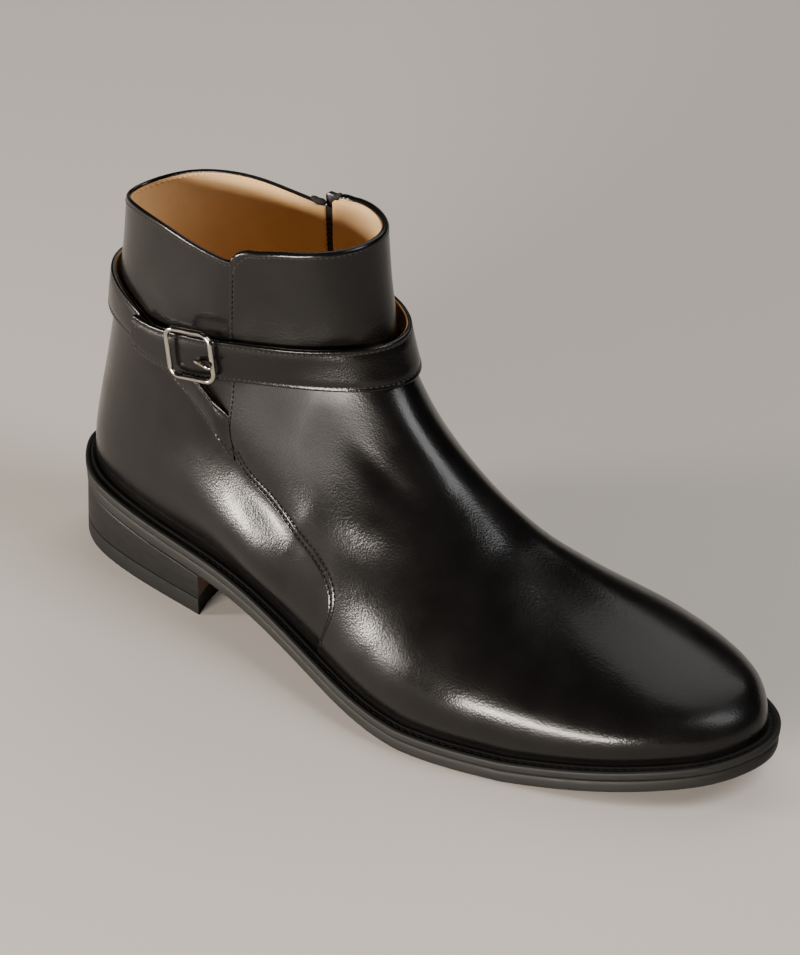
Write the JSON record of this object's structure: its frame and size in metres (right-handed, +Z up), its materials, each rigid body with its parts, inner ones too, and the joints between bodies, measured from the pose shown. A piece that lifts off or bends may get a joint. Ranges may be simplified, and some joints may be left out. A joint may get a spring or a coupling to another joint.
{
  "type": "ankle boot",
  "caption": "Black leather ankle boot for a right foot, with a wrap-around buckled strap, an inside zip, a low stacked heel and a welted leather sole.",
  "frame": {"origin": "middle of the boot's length and width on the floor plane", "axes": "+X towards the toe, -Y the outer side of the right foot, +Y the inner side, +Z up"},
  "size_m": [0.2999, 0.1044, 0.1546],
  "materials": {
    "sole_leather_black": "dyed and waxed edge, satin",
    "welt_leather_black": "dyed and waxed edge, satin",
    "stacked_leather": "stacked lifts, brown breast with black dyed sides",
    "rubber_black": "matt",
    "insole_leather_tan": "natural, matt",
    "calf_leather_black": "smooth calf, polished",
    "strap_leather_black": "smooth calf, polished",
    "nickel_polished": "polished nickel plate",
    "zip_tape_black": "woven tape with black teeth",
    "zip_metal_black": "black nickel, satin"
  },
  "bodies": {
    "boot": {"outsole": "sole_leather_black", "welt": "welt_leather_black", "heel_stack": "stacked_leather", "heel_top_lift": "rubber_black", "insole": "insole_leather_tan", "upper": "calf_leather_black", "strap": "strap_leather_black", "buckle_frame": "nickel_polished", "buckle_prong": "nickel_polished", "zip_chain": "zip_tape_black", "zip_slider": "zip_metal_black"},
    "pull_tab": {"zip_pull": "zip_metal_black"}
  },
  "joints": [
    {"name": "pull_tab_swing", "type": "hinge", "parent": "boot", "child": "pull_tab", "pos_m": [-0.05862, 0.03586, 0.14274], "axis": [0.9992, -0.0394, -0.0021], "range_deg": [-10, 150]}
  ]
}
